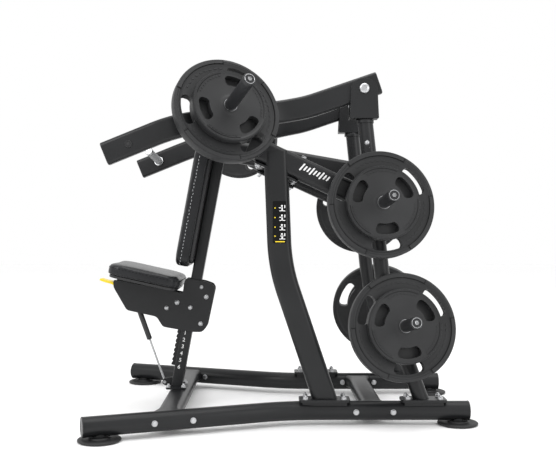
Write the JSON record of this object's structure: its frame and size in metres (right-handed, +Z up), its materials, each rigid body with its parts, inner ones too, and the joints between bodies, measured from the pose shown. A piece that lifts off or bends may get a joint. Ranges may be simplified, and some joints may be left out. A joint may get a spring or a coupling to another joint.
{
  "type": "shoulder press machine",
  "caption": "Plate-loaded seated shoulder press with two pivoting arms, weight plates on pegs and a ratchet-height seat.",
  "frame": {"origin": "centre of the footprint on the floor", "axes": "+Z up; -Y is the front, the way the seated user faces; +X is the seated user's left"},
  "size_m": [1.448, 1.656, 1.5196],
  "materials": {
    "frame": "satin charcoal powder coat",
    "steel": "zinc and chrome plated",
    "cast_iron": "matt grey hammered paint",
    "rubber": "matt",
    "vinyl": "grained upholstery vinyl",
    "plastic": "moulded, matt",
    "yellow": "smooth"
  },
  "bodies": {
    "frame": {"left_rail": "frame", "left_front_foot": "rubber", "left_rear_foot": "rubber", "left_upright": "frame", "left_side_tube": "frame", "left_column": "frame", "left_pivot_axle": "steel", "left_upper_peg": "steel", "left_lower_peg": "steel", "left_arm_stop": "rubber", "right_rail": "frame", "right_front_foot": "rubber", "right_rear_foot": "rubber", "right_upright": "frame", "right_side_tube": "frame", "right_column": "frame", "right_pivot_axle": "steel", "right_upper_peg": "steel", "right_lower_peg": "steel", "right_arm_stop": "rubber", "front_crossmember": "frame", "rear_crossmember": "frame", "front_crossbar": "frame", "rear_crossbar": "frame", "centre_beam": "frame", "seat_post": "frame", "ratchet_rack": "frame", "back_pad_board": "plastic", "back_pad": "vinyl", "placard": "plastic"},
    "left_arm": {"left_arm": "frame", "left_arm_peg": "steel", "left_grip_bar": "steel", "left_grip_sleeve": "rubber"},
    "left_arm_large_plate": {"left_arm_large_plate": "cast_iron"},
    "left_arm_small_plate": {"left_arm_small_plate": "cast_iron"},
    "left_upper_large_plate": {"left_upper_large_plate": "cast_iron"},
    "left_upper_small_plate": {"left_upper_small_plate": "cast_iron"},
    "left_lower_large_plate": {"left_lower_large_plate": "cast_iron"},
    "left_lower_small_plate": {"left_lower_small_plate": "cast_iron"},
    "right_arm": {"right_arm": "frame", "right_arm_peg": "steel", "right_grip_bar": "steel", "right_grip_sleeve": "rubber"},
    "right_arm_large_plate": {"right_arm_large_plate": "cast_iron"},
    "right_arm_small_plate": {"right_arm_small_plate": "cast_iron"},
    "right_upper_large_plate": {"right_upper_large_plate": "cast_iron"},
    "right_upper_small_plate": {"right_upper_small_plate": "cast_iron"},
    "right_lower_large_plate": {"right_lower_large_plate": "cast_iron"},
    "right_lower_small_plate": {"right_lower_small_plate": "cast_iron"},
    "seat_carriage": {"seat_carriage": "frame", "upper_roller": "plastic", "lower_roller": "plastic", "seat_board": "plastic", "seat_pad": "vinyl"},
    "release_lever": {"release_lever": "yellow"},
    "gas_rod": {"gas_spring_rod": "steel"},
    "gas_barrel": {"gas_spring_barrel": "plastic"}
  },
  "joints": [
    {"name": "left_arm_press", "type": "hinge", "parent": "frame", "child": "left_arm", "pos_m": [0.285, 0.352, 1.42], "axis": [-1, 0, 0], "range_deg": [0, 42]},
    {"name": "left_arm_large_plate_slide", "type": "slide", "parent": "left_arm", "child": "left_arm_large_plate", "axis": [0.8682, 0.3699, 0.3308], "range_m": [0, 0.31]},
    {"name": "left_arm_small_plate_slide", "type": "slide", "parent": "left_arm_large_plate", "child": "left_arm_small_plate", "axis": [0.8682, 0.3699, 0.3308], "range_m": [0, 0.267]},
    {"name": "left_upper_large_plate_slide", "type": "slide", "parent": "frame", "child": "left_upper_large_plate", "axis": [0.978, 0.1301, 0.1633], "range_m": [0, 0.244]},
    {"name": "left_upper_small_plate_slide", "type": "slide", "parent": "left_upper_large_plate", "child": "left_upper_small_plate", "axis": [0.978, 0.1301, 0.1633], "range_m": [0, 0.201]},
    {"name": "left_lower_large_plate_slide", "type": "slide", "parent": "frame", "child": "left_lower_large_plate", "axis": [0.97, 0.1339, 0.2027], "range_m": [0, 0.239]},
    {"name": "left_lower_small_plate_slide", "type": "slide", "parent": "left_lower_large_plate", "child": "left_lower_small_plate", "axis": [0.97, 0.1339, 0.2027], "range_m": [0, 0.196]},
    {"name": "right_arm_press", "type": "hinge", "parent": "frame", "child": "right_arm", "pos_m": [-0.285, 0.352, 1.42], "axis": [-1, 0, 0], "range_deg": [0, 42]},
    {"name": "right_arm_large_plate_slide", "type": "slide", "parent": "right_arm", "child": "right_arm_large_plate", "axis": [-0.8682, 0.3699, 0.3308], "range_m": [0, 0.31]},
    {"name": "right_arm_small_plate_slide", "type": "slide", "parent": "right_arm_large_plate", "child": "right_arm_small_plate", "axis": [-0.8682, 0.3699, 0.3308], "range_m": [0, 0.267]},
    {"name": "right_upper_large_plate_slide", "type": "slide", "parent": "frame", "child": "right_upper_large_plate", "axis": [-0.978, 0.1301, 0.1633], "range_m": [0, 0.244]},
    {"name": "right_upper_small_plate_slide", "type": "slide", "parent": "right_upper_large_plate", "child": "right_upper_small_plate", "axis": [-0.978, 0.1301, 0.1633], "range_m": [0, 0.201]},
    {"name": "right_lower_large_plate_slide", "type": "slide", "parent": "frame", "child": "right_lower_large_plate", "axis": [-0.97, 0.1339, 0.2027], "range_m": [0, 0.239]},
    {"name": "right_lower_small_plate_slide", "type": "slide", "parent": "right_lower_large_plate", "child": "right_lower_small_plate", "axis": [-0.97, 0.1339, 0.2027], "range_m": [0, 0.196]},
    {"name": "seat_height", "type": "slide", "parent": "frame", "child": "seat_carriage", "axis": [0, -0.1819, -0.9833], "range_m": [0, 0.15]},
    {"name": "release_lever_pull", "type": "hinge", "parent": "seat_carriage", "child": "release_lever", "pos_m": [0, -0.757, 0.574], "axis": [-1, 0, 0], "range_deg": [0, 12]},
    {"name": "gas_spring_swing", "type": "hinge", "parent": "frame", "child": "gas_rod", "pos_m": [0, -0.532, 0.12], "axis": [1, 0, 0], "range_deg": [0, 14.4]},
    {"name": "gas_spring_stroke", "type": "slide", "parent": "gas_rod", "child": "gas_barrel", "axis": [0, -0.3401, 0.9404], "range_m": [-0.123, 0]}
  ],
  "couplings": [
    {"joint": "gas_spring_swing", "follows": "seat_height", "rad_per_m": 1.6057},
    {"joint": "gas_spring_stroke", "follows": "seat_height", "ratio": -0.80166}
  ]
}
